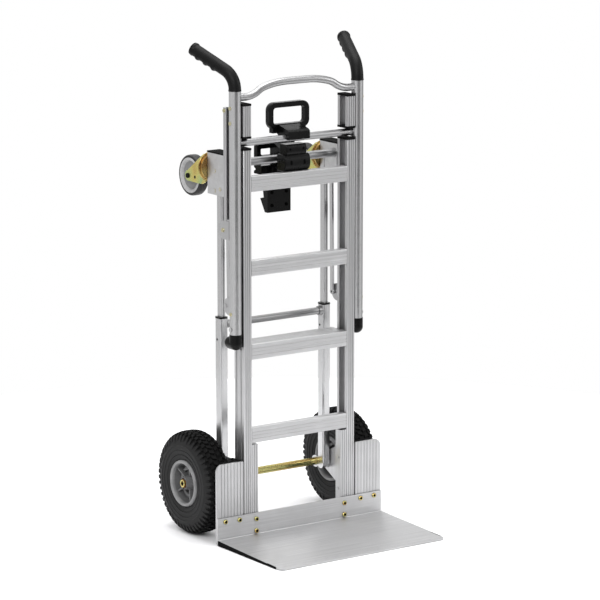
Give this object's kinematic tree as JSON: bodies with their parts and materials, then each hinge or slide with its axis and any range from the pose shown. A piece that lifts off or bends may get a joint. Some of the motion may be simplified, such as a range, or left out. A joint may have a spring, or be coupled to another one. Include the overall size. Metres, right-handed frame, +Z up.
{
  "type": "convertible hand truck",
  "caption": "Upright hand truck with a wide toe plate, curved grips, a sliding folding handle and a telescoping rear frame on swivel casters for use as a cart.",
  "frame": {"origin": "on the ground, in the middle of the toe plate's heel, below the front face of its upright flange", "axes": "+Z up along the rails; +X across the truck to the operator's left when they stand behind it; +Y to the rear, away from the toe plate's tip, so the grips and casters are on the +Y side"},
  "size_m": [0.508, 0.534, 1.1998],
  "materials": {
    "mill_aluminium": "extruded, fine lengthwise grooves",
    "brushed_aluminium": "brushed lengthwise",
    "tube_aluminium": "drawn tube, satin",
    "bright_aluminium": "bright drawn tube",
    "box_steel": "zinc plated sheet",
    "black_plastic": "moulded, fine grain",
    "grip_rubber": "ribbed",
    "yellow_zinc": "yellow chromate zinc plating",
    "black_screw": "black oxide",
    "tyre_rubber": "knobbly tread",
    "rim_plastic": "moulded grey",
    "caster_rubber": "smooth tread",
    "caster_plastic": "moulded light grey"
  },
  "bodies": {
    "frame": {"toe_plate": "brushed_aluminium", "toe_plugs": "black_plastic", "toe_bolts": "yellow_zinc", "left_rail": "mill_aluminium", "right_rail": "mill_aluminium", "frame_caps": "black_plastic", "top_rung": "brushed_aluminium", "upper_rung": "brushed_aluminium", "deep_rung": "brushed_aluminium", "lower_rung": "brushed_aluminium", "left_doubler": "mill_aluminium", "right_doubler": "mill_aluminium", "left_wing": "mill_aluminium", "right_wing": "mill_aluminium", "left_axle_bracket": "mill_aluminium", "right_axle_bracket": "mill_aluminium", "axle": "yellow_zinc", "axle_hardware": "yellow_zinc", "strut_anchors": "mill_aluminium", "latch_housing": "black_plastic", "housing_screws": "black_screw"},
    "left_wheel": {"left_tyre": "tyre_rubber", "left_rim": "rim_plastic", "left_hub": "rim_plastic"},
    "right_wheel": {"right_tyre": "tyre_rubber", "right_rim": "rim_plastic", "right_hub": "rim_plastic"},
    "handle_slide": {"handle_sliders": "box_steel"},
    "handle": {"left_handle_tube": "tube_aluminium", "right_handle_tube": "tube_aluminium", "left_grip": "grip_rubber", "right_grip": "grip_rubber", "arch_bar": "bright_aluminium", "handle_cross_tube": "bright_aluminium", "short_rails": "mill_aluminium", "short_rail_caps": "black_plastic", "end_caps": "black_plastic", "side_channels": "mill_aluminium", "side_plates": "mill_aluminium", "handle_rivets": "yellow_zinc"},
    "pull_handle": {"pull_handle": "black_plastic"},
    "rear_lower": {"rear_lower_tubes": "tube_aluminium", "tube_collars": "black_plastic", "rear_lower_rod": "bright_aluminium"},
    "rear_upper": {"rear_upper_tubes": "tube_aluminium", "caster_boxes": "box_steel", "box_caps": "black_plastic", "rear_cross_tube": "bright_aluminium", "hook_bracket": "black_plastic", "bracket_screws": "black_screw", "caster_raceways": "yellow_zinc"},
    "release_lever": {"release_lever": "black_plastic"},
    "left_strut": {"left_strut": "tube_aluminium"},
    "right_strut": {"right_strut": "tube_aluminium"},
    "left_caster": {"left_yoke": "yellow_zinc"},
    "right_caster": {"right_yoke": "yellow_zinc"},
    "left_caster_wheel": {"left_caster_tread": "caster_rubber", "left_caster_core": "caster_plastic"},
    "right_caster_wheel": {"right_caster_tread": "caster_rubber", "right_caster_core": "caster_plastic"}
  },
  "joints": [
    {"name": "left_wheel_spin", "type": "hinge", "parent": "frame", "child": "left_wheel", "pos_m": [-0.217, 0.14, 0.127], "axis": [1, 0, 0], "continuous": true},
    {"name": "right_wheel_spin", "type": "hinge", "parent": "frame", "child": "right_wheel", "pos_m": [0.217, 0.14, 0.127], "axis": [1, 0, 0], "continuous": true},
    {"name": "handle_lift", "type": "slide", "parent": "frame", "child": "handle_slide", "axis": [0, 0, 1], "range_m": [0, 0.27]},
    {"name": "handle_fold", "type": "hinge", "parent": "handle_slide", "child": "handle", "pos_m": [0, 0.0165, 0.523], "axis": [1, 0, 0], "range_deg": [0, 90]},
    {"name": "pull_handle_turn", "type": "hinge", "parent": "handle", "child": "pull_handle", "pos_m": [0, 0.024, 0.9705], "axis": [1, 0, 0], "range_deg": [-30, 0], "stiffness_Nm_per_rad": 1.5, "springref_deg": 8.59},
    {"name": "rear_frame_swing", "type": "hinge", "parent": "frame", "child": "rear_lower", "pos_m": [0, 0.14, 0.127], "axis": [1, 0, 0], "range_deg": [-34.5, 0]},
    {"name": "rear_frame_telescope", "type": "slide", "parent": "rear_lower", "child": "rear_upper", "axis": [0, 0, -1], "range_m": [0, 0.25]},
    {"name": "left_strut_swing", "type": "hinge", "parent": "rear_upper", "child": "left_strut", "pos_m": [-0.1525, 0.088, 0.848], "axis": [1, 0, 0], "range_deg": [-59.3, 0]},
    {"name": "right_strut_swing", "type": "hinge", "parent": "rear_upper", "child": "right_strut", "pos_m": [0.1525, 0.088, 0.848], "axis": [1, 0, 0], "range_deg": [-59.3, 0]},
    {"name": "release_lever_lift", "type": "hinge", "parent": "rear_upper", "child": "release_lever", "pos_m": [0, 0.068, 0.915], "axis": [1, 0, 0], "range_deg": [0, 20], "stiffness_Nm_per_rad": 1.5, "springref_deg": -14.32},
    {"name": "left_caster_swivel", "type": "hinge", "parent": "rear_upper", "child": "left_caster", "pos_m": [-0.165, 0.13, 0.9], "axis": [0, 1, 0], "continuous": true},
    {"name": "right_caster_swivel", "type": "hinge", "parent": "rear_upper", "child": "right_caster", "pos_m": [0.165, 0.13, 0.9], "axis": [0, 1, 0], "continuous": true},
    {"name": "left_caster_spin", "type": "hinge", "parent": "left_caster", "child": "left_caster_wheel", "pos_m": [-0.165, 0.217, 0.869], "axis": [1, 0, 0], "continuous": true},
    {"name": "right_caster_spin", "type": "hinge", "parent": "right_caster", "child": "right_caster_wheel", "pos_m": [0.165, 0.217, 0.869], "axis": [1, 0, 0], "continuous": true}
  ],
  "couplings": [
    {"joint": "rear_frame_telescope", "follows": "rear_frame_swing", "m_per_rad": -0.415},
    {"joint": "left_strut_swing", "follows": "rear_frame_swing", "ratio": 1.716},
    {"joint": "right_strut_swing", "follows": "rear_frame_swing", "ratio": 1.716}
  ]
}
